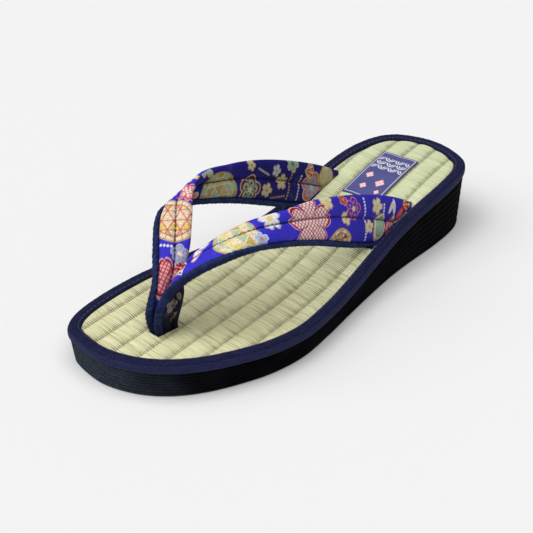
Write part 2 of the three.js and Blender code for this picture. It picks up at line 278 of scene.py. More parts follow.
class Finish:
    """A material under construction: node() adds any node, surface() ends it."""

    def __init__(self, name):
        self.material = bpy.data.materials.new(name)
        self.material.use_nodes = True
        self.tree = self.material.node_tree
        self.shader = self.tree.nodes["Principled BSDF"]

    def node(self, kind, settings, sockets, out=0):
        made = self.tree.nodes.new(kind)
        for key, value in settings.items():
            setattr(made, key, value)
        for key, value in sockets.items():
            self.feed(made.inputs[key], value)
        return Val(self, made.outputs[out])

    def feed(self, socket, value):
        if isinstance(value, Val):
            self.tree.links.new(value.socket, socket)
        else:
            socket.default_value = value

    def mix(self, factor, first, second, blend="MIX"):
        settings = {"data_type": "RGBA", "blend_type": blend}
        return self.node("ShaderNodeMix", settings, {0: factor, 6: first, 7: second}, out=2)

    def split(self, vector):
        return [self.node("ShaderNodeSeparateXYZ", {}, {0: vector}, out=k) for k in range(3)]

    def join(self, x, y, z):
        return self.node("ShaderNodeCombineXYZ", {}, {0: x, 1: y, 2: z})

    def place(self):
        return self.node("ShaderNodeTexCoord", {}, {}, out=3)

    def field(self, name, out=1):
        return self.node("ShaderNodeAttribute", {"attribute_name": name}, {}, out=out)

    def noise(self, vector, scale, detail=2.0, rough=0.5):
        sockets = {"Vector": vector, "Scale": scale, "Detail": detail, "Roughness": rough}
        return self.node("ShaderNodeTexNoise", {}, sockets)

    def surface(self, base, rough, bumps, **constants):
        normal = None
        for height, strength, distance in bumps:
            sockets = {"Height": height, "Strength": strength, "Distance": distance}
            if normal is not None:
                sockets["Normal"] = normal
            normal = self.node("ShaderNodeBump", {}, sockets)
        self.feed(self.shader.inputs["Base Color"], base)
        self.feed(self.shader.inputs["Roughness"], rough)
        self.feed(self.shader.inputs["Normal"], normal)
        for key, value in constants.items():
            self.shader.inputs[key.replace("_", " ").title().replace("Ior", "IOR")].default_value = value
        return self.material


def sole_wall():
    """Rings from the floor to the insole board: the inset shrinks up the wall,
    plus a narrow groove under each rib (a cosine raised to a power)."""
    turn = np.linspace(0, 2 * np.pi, SOLE_RING, endpoint=False)
    level = np.linspace(0, 1, SOLE_RIBS * SOLE_ROWS_PER_RIB + 1)
    groove = (0.5 - 0.5 * np.cos(2 * np.pi * SOLE_RIBS * level)) ** 3
    inset = SOLE_INSET_TOP + SOLE_TAPER * (1 - level) + SOLE_RIB_DEPTH * groove
    foot_angle = np.linspace(0, np.pi / 2, 6)[:-1]
    foot_inset = SOLE_INSET_TOP + SOLE_TAPER + SOLE_FOOT_RADIUS * (1 - np.sin(foot_angle))
    foot_height = SOLE_FOOT_RADIUS * (1 - np.cos(foot_angle))
    rings = plan_ring(turn[None, :], np.concatenate([foot_inset, inset])[:, None])
    x, y = rings[..., 0], rings[..., 1]
    top = mat_top(x, y) - SOLE_TOP_DROP
    wall = SOLE_FOOT_RADIUS + (top[len(foot_inset):] - SOLE_FOOT_RADIUS) * level[:, None]
    z = np.concatenate([np.repeat(foot_height[:, None], SOLE_RING, 1), wall])
    return np.stack([x, y, z], -1)


def sole_foam():
    """Black foam: faint scuffs, fine pores, painted light on the toe and the big-toe side, which face the
    key lamp, broken up by the pores, and a tread of small blocks below, the product of two slanted sines."""
    f = Finish("sole_foam")
    place = f.place()
    x, y, z = f.split(place)
    pores = f.noise(place, 1500.0, 3.0, 0.6)
    cloud = f.noise(place, 60.0, 2.0)
    streak = f.noise(f.join(x * 900.0, y * 900.0, z * 2600.0), 1.0, 2.0)
    scuff = (cloud * 0.6 + streak * 0.5).step(0.45, 0.75)
    base = f.mix(scuff, SOLE_BLACK, SOLE_SCUFF)
    # painted light: the front and big-toe side of the sole, facing the key lamp, are lifted to a paler
    # grey, broken up by the pores
    toe = (y + x * 0.9 + cloud * 0.05).step(-0.035, -0.105)
    base = f.mix(toe * (pores.step(0.35, 0.65) * 0.55 + 0.30), base, SOLE_TOE_LIGHT)
    below = z.step(0.0005, 0.0001)
    tread = ((x * 0.94 + y * 0.34) * 2100.0).math("SINE") * ((y * 0.94 - x * 0.34) * 1300.0).math("SINE")
    rough = 0.62 + pores * 0.22 - scuff * 0.08
    return f.surface(
        base, rough,
        [(tread.step(-0.35, 0.05) * below, 0.9, 0.0012), (streak, 0.35, 0.0002), (pores, 0.4, 0.00015)],
        specular_ior_level=0.02,
    )


sole = put_tube("sole_wedge", sole_wall())
sole.data.materials.append(sole_foam())
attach(sole, "root")
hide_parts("sole")

# Mat: rush strands woven over thin warp cords and glued to the insole board.
# The strands run across the foot and rise in a soft rib between two cords.
MAT_INSET = 6.55
MAT_THICK = 3.6
MAT_ROWS = 380
MAT_COLUMNS = 231
RIB_PITCH = 11.71
RIB_START = -7.31
RIB_CROWN = 0.80
RIB_LIFT = 0.25
STRAND_PITCH = 1.15
STRAND_SLANT = 0.16
SLOT_DEPTH = 2.9
SLOTS = {
    "toe": {"front": (-1.5, -93.4), "rear": (-1.5, -79.0), "half": 3.5},
    "outer_side": {"front": (25.7, 26.1), "rear": (21.8, 65.4), "half": 2.5},
    "inner_side": {"front": (-25.2, 28.6), "rear": (-29.0, 64.4), "half": 2.5},
}
STRAW = (0.73, 0.715, 0.38, 1.0)
STRAW_GREEN = (0.61, 0.67, 0.40, 1.0)
STRAW_PALE = (0.90, 0.885, 0.61, 1.0)
STRAW_BROWN = (0.30, 0.27, 0.11, 1.0)
# painted shade: the dark tone of the gaps between strands and of each rib's side towards the next cord
STRAND_GAP_SHADE = (0.20, 0.18, 0.07, 1.0)
# painted shadow in the slits where the strands dive under a warp cord
CREASE_SHADOW = (0.085, 0.075, 0.030, 1.0)


def across_weave(x, y):
    """Distance across the weave, the way the strands run."""
    return math.cos(WEAVE_TURN) * x + math.sin(WEAVE_TURN) * y


def along_weave(x, y):
    """Distance along the weave, the way the warp cords run."""
    return math.cos(WEAVE_TURN) * y - math.sin(WEAVE_TURN) * x


def slab_piece(name, top, thick, **fields):
    """Closed slab under a grid of top points: each row goes on to two points
    straight below its ends, and a flat lid closes the first and last row."""
    rows, columns = top.shape[:2]
    under = top[:, [-1, 0]] - np.array([0, 0, thick])
    points = np.concatenate([top, under], 1)
    around = columns + 2
    lids = np.stack([np.arange(around)[::-1], (rows - 1) * around + np.arange(around)])
    fields = {
        key: np.concatenate([values, values[:, [-1, 0]]], 1).reshape(-1, values.shape[-1])
        for key, values in fields.items()
    }
    return put_piece(name, points.reshape(-1, 3), [tube_faces(rows, around), lids], **fields)


def woven_top():
    """Rows across the weave from edge to edge of the bound outline. The height
    is the footbed's, plus a rib crown (the root of a sine between two cords),
    less a rounded rim and the pockets that the strap feet go into."""
    ring = plan_ring(np.linspace(0, 2 * np.pi, 4000, endpoint=False), MAT_INSET)
    c, a = across_weave(ring[:, 0], ring[:, 1]), along_weave(ring[:, 0], ring[:, 1])
    low, high = int(np.argmin(a)), int(np.argmax(a))
    c, a = np.roll(c, -low), np.roll(a, -low)
    high = (high - low) % len(a)
    middle, reach = 0.5 * (a[0] + a[high]), 0.5 * (a[high] - a[0])
    row_a = middle - (reach - 0.05) * np.cos(np.linspace(0, np.pi, MAT_ROWS))
    side_one = np.interp(row_a, np.maximum.accumulate(a[: high + 1]), c[: high + 1])
    side_two = np.interp(row_a, np.maximum.accumulate(a[high:][::-1]), c[high:][::-1])
    left, right = np.minimum(side_one, side_two), np.maximum(side_one, side_two)
    s = np.linspace(0, 1, MAT_COLUMNS)[None, :]
    cc = left[:, None] + (right - left)[:, None] * s
    aa = np.repeat(row_a[:, None], MAT_COLUMNS, 1)
    x = math.cos(WEAVE_TURN) * cc - math.sin(WEAVE_TURN) * aa
    y = math.sin(WEAVE_TURN) * cc + math.cos(WEAVE_TURN) * aa
    phase = ((cc - RIB_START) / RIB_PITCH) % 1.0
    crown = RIB_CROWN * (np.sin(np.pi * phase) ** 0.62 - 1.0) + RIB_LIFT
    rim = np.minimum(cc - left[:, None], right[:, None] - cc)
    z = mat_top(x, y) + crown - 0.55 * np.exp(-((rim / 0.9) ** 2))
    for slot in SLOTS.values():
        front, rear = np.array(slot["front"]), np.array(slot["rear"])
        way = (rear - front) / np.linalg.norm(rear - front)
        run = (x - front[0]) * way[0] + (y - front[1]) * way[1]
        off = np.abs((x - front[0]) * way[1] - (y - front[1]) * way[0])
        beyond = np.maximum(np.maximum(-run, run - np.linalg.norm(rear - front)), off - slot["half"])
        z -= SLOT_DEPTH * np.clip(0.5 - beyond / 0.5, 0, 1)
    return np.stack([x, y, z], -1), np.stack([cc, aa, phase], -1)


def rush():
    """Rush: each strand its own straw tone, fine fibre streaks along it, painted shade in the gaps
    between strands and on each rib towards its next warp cord, and dark slits of painted shadow before a
    warp cord, where the strands dive; calmer towards the heel."""
    f = Finish("rush")
    c, a, phase = f.split(f.field("weave"))
    rib = ((c - RIB_START) / RIB_PITCH).math("FLOOR")
    wander = f.noise(f.join(c * 0.05, a * 0.11, rib * 7.3), 1.0, 2.0) - 0.5
    strand_at = (a + c * STRAND_SLANT + wander * 2.2) / STRAND_PITCH
    strand = strand_at.math("FLOOR")
    within = strand_at.math("FRACT")
    ridge = (within * math.pi).math("SINE")
    lot = f.node(
        "ShaderNodeTexWhiteNoise", {"noise_dimensions": "2D"}, {"Vector": f.join(strand, rib, 0.0)},
    )
    streak = f.noise(f.join(c * 0.05, (a + c * STRAND_SLANT) * 1.35, rib * 0.35), 1.0, 3.0, 0.65)
    cloud = f.noise(f.join(c * 0.02, a * 0.02, 0.0), 1.0, 2.0)
    calm = 1.0 - a.step(0.0, 60.0) * 0.55
    tone = f.mix((a + cloud * 60.0).step(-60.0, 110.0), STRAW, STRAW_GREEN)
    tone = f.mix((streak.step(0.42, 0.64) * 0.75 + lot * 0.25) * calm, tone, STRAW_PALE)
    tone = f.mix(streak.step(0.50, 0.34) * (0.25 + lot * 0.40) * calm, tone, STRAW_BROWN)
    before, after = (1.0 - phase) * RIB_PITCH, phase * RIB_PITCH
    # painted shade: each rib darkens towards its next warp cord
    tone = f.mix(phase.step(0.30, 1.0) * 0.13, tone, STRAND_GAP_SHADE)
    slit = (1.0 - ridge - before.math("MINIMUM", 4.0) * 0.05).step(0.12, 0.50)
    crease = (before + wander * 0.6 - lot * 1.6).step(2.4, 0.2).math("MAXIMUM", after.step(0.6, 0.1))
    bold = lot.step(0.25, 0.80) * 0.85 + 0.15
    # painted shade in the gaps between strands, deeper towards the next cord
    between_shade = (1.0 - ridge).step(0.25, 0.80) * bold * (phase.step(0.1, 0.9) * 0.30 + 0.35) * calm
    # painted shadow in the slits of the crease before each warp cord
    crease_shadow = (crease * (slit * (lot * 0.6 + 0.6) + 0.04)).math("MINIMUM", 0.95)
    tone = f.mix(between_shade, tone, STRAND_GAP_SHADE)
    base = f.mix(crease_shadow, tone, CREASE_SHADOW)
    rough = 0.50 + streak * 0.22 + crease * 0.15
    return f.surface(
        base, rough,
        [(ridge * (1.0 - crease * slit * 0.6), 0.9, 0.00036), (streak, 0.6, 0.00016)],
        specular_ior_level=0.35,
    )


mat_points, mat_weave = woven_top()
mat = slab_piece("rush_mat", mat_points, MAT_THICK, weave=mat_weave)
mat.data.materials.append(rush())
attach(mat, "root")
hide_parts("mat")

# Edge binding: a bias tape of dark navy cotton folded round the insole board
# and the mat's cut edge, sewn down on top, with its lower edge over the sole.
BINDING_RING = 720
BINDING_AROUND = 44
BINDING_SECTION = np.array([
    (0.95, -3.75), (0.30, -3.60), (0.00, -3.00), (-0.05, -1.60), (0.05, -0.50), (0.45, 0.45),
    (1.25, 1.05), (2.50, 1.25), (4.00, 1.20), (5.30, 0.95), (6.10, 0.40), (6.30, -0.50),
    (6.30, -2.40), (5.90, -3.70), (3.40, -3.75),
])
BINDING_PUCKER = 0.10
BINDING_STITCH = 3.1
WHIP_PITCH = 1.4
BINDING_NAVY = (0.0070, 0.0085, 0.040, 1.0)
# paler navy: real fading in random patches, and the painted highlight on the outer roll
BINDING_FADED_AND_LIT = (0.024, 0.026, 0.102, 1.0)
BINDING_THREAD = (0.120, 0.125, 0.200, 1.0)


def binding_hoop():
    """The tape's closed section carried round the outline; small puckers, sines
    of the distance round, lift its top where the bias cloth is eased in."""
    turn = np.linspace(0, 2 * np.pi, BINDING_RING, endpoint=False)
    spot = np.linspace(0, len(BINDING_SECTION), BINDING_AROUND, endpoint=False)
    section = through(BINDING_SECTION, spot, True)
    inset = np.repeat(section[:, 0][None, :], BINDING_RING, 0)
    ring = plan_ring(turn[:, None], inset)
    edge = plan_edge(np.append(turn, 2 * np.pi))
    run = np.concatenate([[0], np.cumsum(np.linalg.norm(np.diff(edge, axis=0), axis=1))])[:-1]
    down = np.concatenate([[0], np.cumsum(np.linalg.norm(np.diff(section, axis=0), axis=1))])
    pucker = np.sin(run * 1.31 + 2 * np.sin(run * 0.09)) * np.sin(run * 0.53 + 1.0)
    crown = np.clip(section[:, 1], 0, 1.2) / 1.2
    rise = section[None, :, 1] + BINDING_PUCKER * pucker[:, None] * crown[None, :]
    z = mat_top(ring[..., 0], ring[..., 1]) + rise
    tape = np.stack([np.broadcast_to(run[:, None], z.shape), np.broadcast_to(down, z.shape), inset], -1)
    return np.concatenate([ring, z[..., None]], -1), tape


def binding_cloth():
    """Navy cotton: a fine plain weave on the bias, faded in random patches, with a painted highlight that
    makes the outer roll paler, one row of sewing near the inner edge and a thread of whipping along the
    foot."""
    f = Finish("binding_cloth")
    run, down, inset = f.split(f.field("tape"))
    mottle = f.noise(f.join(run * 0.16, down * 0.4, 0.0), 1.0, 3.0, 0.6)
    slub = f.noise(f.join((run + down) * 1.2, (run - down) * 4.0, 0.0), 1.0, 2.0)
    weave = ((run + down) * 8.5).math("SINE") * ((run - down) * 8.5).math("SINE")
    speck = f.noise(f.join(run * 1.7, down * 1.7, 4.0), 1.0, 2.0).step(0.60, 0.70)
    # painted highlight: the outer roll of the tape is made paler, as if lit; the mottle is real fading
    roll = inset.step(0.85, 0.35)
    fold = (inset - 0.75).math("ABSOLUTE").step(0.40, 0.10) * down.step(1.2, 2.0)
    tone_and_painted_light = (mottle.step(0.35, 0.75) * 0.40 + roll * 0.38 + weave * 0.12 - fold * 0.5).math("MAXIMUM", 0.0)
    base = f.mix(tone_and_painted_light, BINDING_NAVY, BINDING_FADED_AND_LIT)
    base = f.mix(speck * 0.45 + slub.step(0.6, 0.8) * 0.25, base, BINDING_THREAD)
    step = (run / BINDING_STITCH).math("FRACT")
    stitch = step.step(0.12, 0.24) * step.step(0.90, 0.78)
    seam = (inset - 5.15).math("ABSOLUTE").step(0.32, 0.12) * down.step(2.0, 3.0)
    base = f.mix(seam * stitch * 0.55, base, BINDING_THREAD)
    whip = (down - 0.95).math("ABSOLUTE").step(0.34, 0.10)
    whip = whip * (run / WHIP_PITCH).math("FRACT").step(0.35, 0.55)
    base = f.mix(whip * 0.5, base, BINDING_THREAD)
    rough = 0.66 + mottle * 0.2 - roll * 0.08
    return f.surface(
        base, rough,
        [
            (weave, 0.5, 0.00016), (slub + mottle, 0.6, 0.0005),
            (1.0 - fold, 0.6, 0.0004), (seam * (stitch - 0.5), 0.7, 0.0004),
        ],
        specular_ior_level=0.12,
    )


binding_points, binding_tape = binding_hoop()
binding_faces = tube_faces(BINDING_RING + 1, BINDING_AROUND) % (BINDING_RING * BINDING_AROUND)
binding = put_piece(
    "edge_tape", binding_points.reshape(-1, 3), [binding_faces], tape=binding_tape.reshape(-1, 3),
)
binding.data.materials.append(binding_cloth())
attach(binding, "root")
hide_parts("edge_binding")

# Straps: two bands of printed crepe sewn over foam strips, stitched along the
# middle so that each band is puffed in two halves. They meet at the toe post
# and go through slots in the mat at the toe and at both sides.
STRAP_EDGES = {
    "outer": np.array([
        (0.4, -93.2, 15.7, -1.8, -79.1, 16.6), (1.8, -94.6, 24.0, 0.8, -76.2, 31.1),
        (2.7, -92.5, 32.1, 0.0, -72.4, 41.7), (5.9, -87.4, 40.7, 0.0, -65.8, 49.8),
        (14.2, -79.6, 50.0, 5.3, -55.2, 57.5), (23.6, -69.3, 56.9, 13.1, -41.1, 63.2),
        (27.6, -56.5, 57.1, 17.0, -25.4, 63.5), (27.7, -42.4, 52.8, 17.3, -9.8, 60.3),
        (27.7, -28.2, 47.6, 17.8, 4.9, 56.6), (27.5, -13.6, 41.2, 18.4, 20.6, 51.8),
        (27.1, 1.1, 33.8, 19.4, 37.1, 45.6), (26.4, 14.8, 27.0, 20.5, 52.7, 38.4),
        (25.7, 26.1, 22.4, 21.8, 65.4, 30.8),
    ]),
    "inner": np.array([
        (-3.4, -93.2, 15.7, -1.2, -79.1, 16.6), (-4.3, -94.6, 24.0, -3.8, -76.2, 31.1),
        (-4.6, -92.5, 32.2, -3.0, -72.3, 41.8), (-7.2, -87.3, 40.9, -3.9, -66.5, 50.7),
        (-15.0, -79.5, 50.3, -11.3, -57.8, 59.9), (-24.5, -69.0, 57.4, -22.2, -46.0, 67.4),
        (-28.4, -56.0, 57.8, -27.9, -31.9, 68.7), (-28.0, -41.7, 53.7, -29.2, -17.2, 66.0),
        (-27.4, -27.2, 48.7, -29.9, -2.6, 62.4), (-27.1, -12.3, 42.6, -30.0, 13.7, 56.9),
        (-26.9, 2.8, 35.5, -29.6, 31.9, 49.3), (-26.4, 16.8, 29.0, -29.0, 49.7, 40.5),
        (-25.2, 28.6, 24.6, -29.0, 64.4, 31.7),
    ]),
}
STRAP_ROWS = 620
STRAP_ACROSS = 78
STRAP_FOOT = 2.6
BAND_START = 4.0
BAND_PUFF = 2.05
BAND_SEAM = 0.45
# painted shade on the straps: the underside faces are dimmed, and the cloth darkens near the toe post and
# towards the rear ends
UNDER_SHADE = 0.80
TOE_DARK = 0.34
HEEL_DARK = 0.16
HEEL_SHADE = (105, 135)
DOT_PITCH = 1.6
DOT_RADIUS = 0.6
SPOT_PITCH = 2.4
CREPE_STITCH = 2.4
CREPE_FADE = (0.55, 0.55, 0.70, 1.0)
CREPE_SPECK = (0.30, 0.13, 0.09, 1.0)
# dark seam line: part thread, part painted shadow in the sewn groove
CREPE_SEAM_THREAD_AND_SHADOW = (0.010, 0.010, 0.045, 1.0)
TOE_SHADE = {"outer": ((6, 20), (32, 58)), "inner": ((2, 10), (8, 20))}
TRIM_AT = [0, 14, 25, 38, 50, 62, 80, 95, 200]
STRAP_TRIM = {"outer": [0, 0.4, 3.0, 4.2, 3.4, 2.4, 1.8, 0, 0], "inner": [0] * 9}


def ink(red, green, blue):
    """Linear colour of an ink from its red, green and blue out of 255."""
    tone = np.array([red, green, blue]) / 255.0
    return np.where(tone < 0.04045, tone / 12.92, ((tone + 0.055) / 1.055) ** 2.4)


# The deep blue ground stands for the strap cloth in painted shade, on the underside faces.
INK = {
    "ground": ink(54, 46, 200), "shaded_ground": ink(30, 23, 140), "white": ink(240, 238, 240),
    "cream": ink(236, 224, 190), "gold": ink(206, 170, 84), "yellow": ink(232, 212, 120),
    "red": ink(196, 40, 56), "dark_red": ink(132, 22, 44), "salmon": ink(226, 120, 104),
    "pink": ink(240, 178, 184), "orange": ink(222, 126, 66), "peach": ink(240, 190, 150),
    "teal": ink(70, 140, 150), "sage": ink(170, 200, 170), "green": ink(120, 160, 110),
    "sky": ink(160, 190, 224), "lavender": ink(150, 150, 200), "olive": ink(176, 164, 96),
    "tan": ink(206, 184, 132), "burgundy": ink(120, 40, 70), "grey": ink(180, 186, 198),
}
# Motifs are listed by kind, place along and across the flat cloth, size, turn
# in degrees and inks; dotted rows give both ends in place of size and turn.
CHARTS = {
    ("outer", "top"): [
        ("petal", 8, 3, (4, 2.4), 20, "red cream"), ("petal", 10, -4, (3.4, 2), -30, "cream gold"),
        ("blossom", 17, 2, 4.2, 15, "cream gold salmon"),
        ("petal", 21, -4.5, (3.6, 2.2), 40, "salmon cream"),
        ("fan", 27, 1.5, 9.5, 0, "dark_red cream red white"),
        ("petal", 41, 1.0, (4.4, 2.2), 60, "white pink"),
        ("petal", 45.5, 4.5, (3.4, 2.0), 10, "white lavender"),
        ("ball", 60, 0, 10.5, 12, "sage peach cream yellow gold cream"),
        ("blossom", 69.5, -4.5, 3.6, 10, "sky white salmon"),
        ("blossom", 79, 4, 6.2, 20, "white grey yellow"),
        ("spotted", 104, -1, 15.5, 90, "red white dark_red pink"),
        ("ball", 127, -14, 10, 40, "tan red cream orange tan dark_red"),
        ("blossom", 131, 1, 4.0, 0, "cream gold gold"),
        ("blossom", 117, 8.5, 4.5, 30, "cream gold yellow"),
        ("plum", 136, 5.5, 5.8, 10, "ground salmon cream"),
        ("blossom", 129, 9.5, 3.0, 0, "red pink gold"), ("dots", 148.5, -9.5, (144, 11.5), 0, "white"),
        ("blossom", 150, -2.5, 3.8, 20, "cream gold gold"),
        ("blossom", 155, 8, 4.6, 0, "cream gold yellow"),
        ("petal", 159, -2.5, (7.4, 5.0), 80, "cream gold"),
        ("petal", 159.5, -2, (5.4, 3.2), 80, "sage teal"), ("dots", 161, 4.5, (160.5, 10), 0, "white"),
        ("petal", 166, -1, (5.0, 1.4), 60, "pink red"),
        ("petal", 167, 8.5, (3.8, 1.2), 60, "cream white"),
        ("petal", 169.5, 0.5, (4.6, 1.3), 80, "red cream"),
        ("petal", 169.5, 9, (3.8, 1.2), 100, "cream white"),
        ("petal", 175, 6, (4.8, 1.8), 60, "salmon red"),
        ("fan", 177, 11, 8, 0, "red orange cream dark_red"),
        ("petal", 176, -6, (4.5, 2.4), -30, "sky white"),
    ],
    ("inner", "top"): [
        ("petal", 7, -3, (3.6, 2.2), 30, "cream gold"), ("petal", 11, 3.5, (3.8, 2), -20, "red salmon"),
        ("blossom", 16, -1, 3.6, 0, "cream gold gold"),
        ("spotted", 30, 6.5, 6.0, 20, "red pink dark_red pink"),
        ("spotted", 25.5, -1.5, 9.5, 60, "red pink dark_red pink"),
        ("plum", 37.0, 3.5, 4.2, 0, "lavender grey cream"), ("dots", 40.5, -6.5, (40, 0), 0, "white"),
        ("ball", 53, 1, 11, 0, "cream tan cream yellow cream red"),
        ("spotted", 69, 6.5, 6.5, 20, "salmon white red pink"),
        ("blossom", 68, -4, 4.2, 0, "white grey yellow"),
        ("blossom", 80, 2, 5.4, 10, "cream gold gold"),
        ("fan", 84, -5, 9, 0, "dark_red cream orange white"),
        ("spotted", 103, 1, 14.5, 30, "red white dark_red pink"),
        ("blossom", 118, -7, 4.4, 0, "white grey yellow"),
        ("ball", 130, 6, 10.5, 30, "sage peach cream orange yellow cream"),
        ("plum", 140, -6, 5.0, 0, "salmon cream gold"), ("dots", 147, -10, (148, 9), 0, "white"),
        ("blossom", 155, 4, 4.8, 0, "cream gold yellow"),
        ("petal", 158, -6, (4.6, 2.4), 40, "sky white"),
        ("ball", 172, 0, 9.5, 0, "orange red teal cream peach cream"),
    ],
    ("inner", "under"): [
        ("blossom", 14, 1, 3.6, 0, "red pink gold"), ("petal", 24, -2, (4, 2.2), 30, "cream gold"),
        ("plum", 33, 3, 4.4, 0, "salmon cream gold"), ("blossom", 46, -2, 4.6, 0, "cream gold gold"),
        ("fan", 54, 2, 9, 0, "dark_red cream red white"),
        ("blossom", 72, 5, 5.0, 0, "white grey yellow"),
        ("petal", 79, -5, (4.6, 2.4), 30, "salmon cream"), ("blossom", 88, 10, 6.0, 0, "sage tan sky"),
        ("ball", 97, -6, 12.5, 35, "olive tan sage olive tan cream"),
        ("plum", 119, -4, 8.0, 10, "dark_red cream dark_red"),
        ("plum", 119, -4, 6.2, 10, "sage burgundy cream"),
        ("blossom", 118, 8.5, 3.2, 0, "cream gold gold"),
        ("blossom", 132, -4, 4.2, 0, "cream gold gold"),
        ("blossom", 143, 1, 4.6, 20, "cream gold yellow"),
        ("blossom", 137, 6.5, 3.6, 0, "white grey grey"), ("dots", 124, 6.8, (131, 4.2), 0, "cream"),
        ("dots", 137, -8, (146, -6.5), 0, "gold"), ("dots", 149, -7.5, (149.5, 9.5), 0, "gold"),
        ("dots", 157, -7.5, (157.5, 5.5), 0, "white"), ("plum", 168, 0, 8.8, 15, "salmon cream orange"),
        ("plum", 168, 0, 6.8, 15, "sky salmon cream"), ("blossom", 149, 11, 5.0, 0, "sage cream teal"),
        ("fan", 160, 8.5, 7.5, 0, "red cream orange cream"),
        ("ball", 178, 7, 6.2, 0, "yellow green cream yellow sage cream"),
    ],
    ("outer", "under"): [
        ("petal", 8, 2.0, (2.6, 1.4), 40, "red cream"), ("plum", 15, -0.5, 3.6, 0, "pink white red"),
        ("petal", 19, 3.5, (2.4, 1.3), -30, "pink cream"),
        ("blossom", 37, 1, 4.6, 0, "cream white gold"),
        ("blossom", 41, -4.5, 3.0, 0, "cream white gold"),
        ("blossom", 45, -2, 5.0, 0, "white grey yellow"),
        ("ball", 62, 2, 10, 20, "cream red yellow teal peach cream"),
        ("blossom", 80, -4, 4.6, 0, "cream gold gold"),
        ("fan", 86, 2, 10, 0, "dark_red cream red white"),
        ("spotted", 112, 0, 13.5, 40, "red white dark_red pink"),
        ("blossom", 130, 6, 5.0, 0, "white grey yellow"),
        ("ball", 140, -5, 10.5, 10, "orange red teal cream peach cream"),
        ("dots", 153, -9, (154, 10), 0, "white"), ("plum", 164, 2, 7.0, 0, "salmon cream gold"),
        ("blossom", 176, -2, 5.0, 0, "cream gold yellow"),
    ],
}


def smooth_step(low, high, value):
    """0 at low, 1 at high, with level ends."""
    t = np.clip((value - low) / (high - low), 0, 1)
    return t * t * (3 - 2 * t)


def strap_path(edges, rows, foot):
    """Stations along a strap: smooth front and rear edges, led straight down
    into the mat at both ends. Gives edges, share of the way, width and facing
    directions, and the flat cloth's own measures along the strap."""
    share = np.linspace(0, 1, rows)
    edge = through(edges, share * (len(edges) - 1), False)
    first, last = edge[:1].copy(), edge[-1:].copy()
    for end in (first, last):
        for k in (0, 3):
            end[:, k + 2] = mat_top(end[:, k], end[:, k + 1]) - foot
    ramp = np.linspace(0, 1, 9)[:, None]
    lead_in = first + (edge[:1] - first) * ramp[:-1]
    lead_out = edge[-1:] + (last - edge[-1:]) * ramp[1:]
    edge = np.concatenate([lead_in, edge, lead_out])
    share = np.concatenate([np.zeros(8), share, np.ones(8)])
    front, rear = edge[:, :3], edge[:, 3:]
    middle = 0.5 * (front + rear)
    step = np.linalg.norm(np.diff(middle, axis=0), axis=1)
    run = np.concatenate([[0], np.cumsum(step)])
    run -= run[8]
    ahead = np.gradient(middle, axis=0)
    ahead /= np.linalg.norm(ahead, axis=1, keepdims=True)
    wide = rear - front
    width = np.linalg.norm(wide, axis=1)
    wide /= width[:, None]
    face = np.cross(ahead, wide)
    face /= np.linalg.norm(face, axis=1, keepdims=True)
    skew = np.einsum("ij,ij->i", wide, ahead)
    return {
        "front": front, "share": share, "run": run, "wide": wide, "width": width,
        "face": face, "skew": skew, "square": np.sqrt(np.maximum(1 - skew ** 2, 0.2)),
    }


def lay(cloth, mask, colour):
    """Prints an ink over the cloth wherever the mask is one."""
    cloth += mask[:, None] * (np.asarray(colour) - cloth)


def inside(distance):
    """One inside a shape and zero outside, with a 0.3 mm soft edge."""
    return np.clip(0.5 - distance / 0.3, 0, 1)


def print_blossom(cloth, x, y, size, inks):
    """Five petals: the reach swings with the angle, with a nick at each tip;
    outline, fill, a vein down each petal and a round heart."""
    fill, line, heart = inks
    reach, angle = np.hypot(x, y), np.arctan2(y, x)
    swing = np.abs(np.cos(2.5 * angle))
    tip = np.exp(-((np.sin(2.5 * angle) / 0.2) ** 2)) * 0.12
    edge = size * (0.52 + 0.48 * swing ** 0.7 - tip)
    lay(cloth, inside(reach - edge), line)
    lay(cloth, inside(reach - edge + 0.13 * size), fill)
    vein = inside(np.abs(np.sin(2.5 * angle)) * reach - 0.3)
    vein = vein * (reach < 0.6 * size) * (reach > 0.25 * size)
    lay(cloth, vein * 0.5, line)
    lay(cloth, inside(reach - 0.24 * size), heart)


def print_plum(cloth, x, y, size, inks):
    """Five round petals set on a circle, each with a rim, round a heart."""
    fill, line, heart = inks
    for k in range(5):
        turn = 2 * math.pi * k / 5
        reach = np.hypot(x - 0.55 * size * math.cos(turn), y - 0.55 * size * math.sin(turn))
        lay(cloth, inside(reach - 0.45 * size), line)
        lay(cloth, inside(reach - 0.45 * size + 0.55), fill)
        lay(cloth, inside(reach - 0.13 * size), line)
    lay(cloth, inside(np.hypot(x, y) - 0.22 * size), heart)


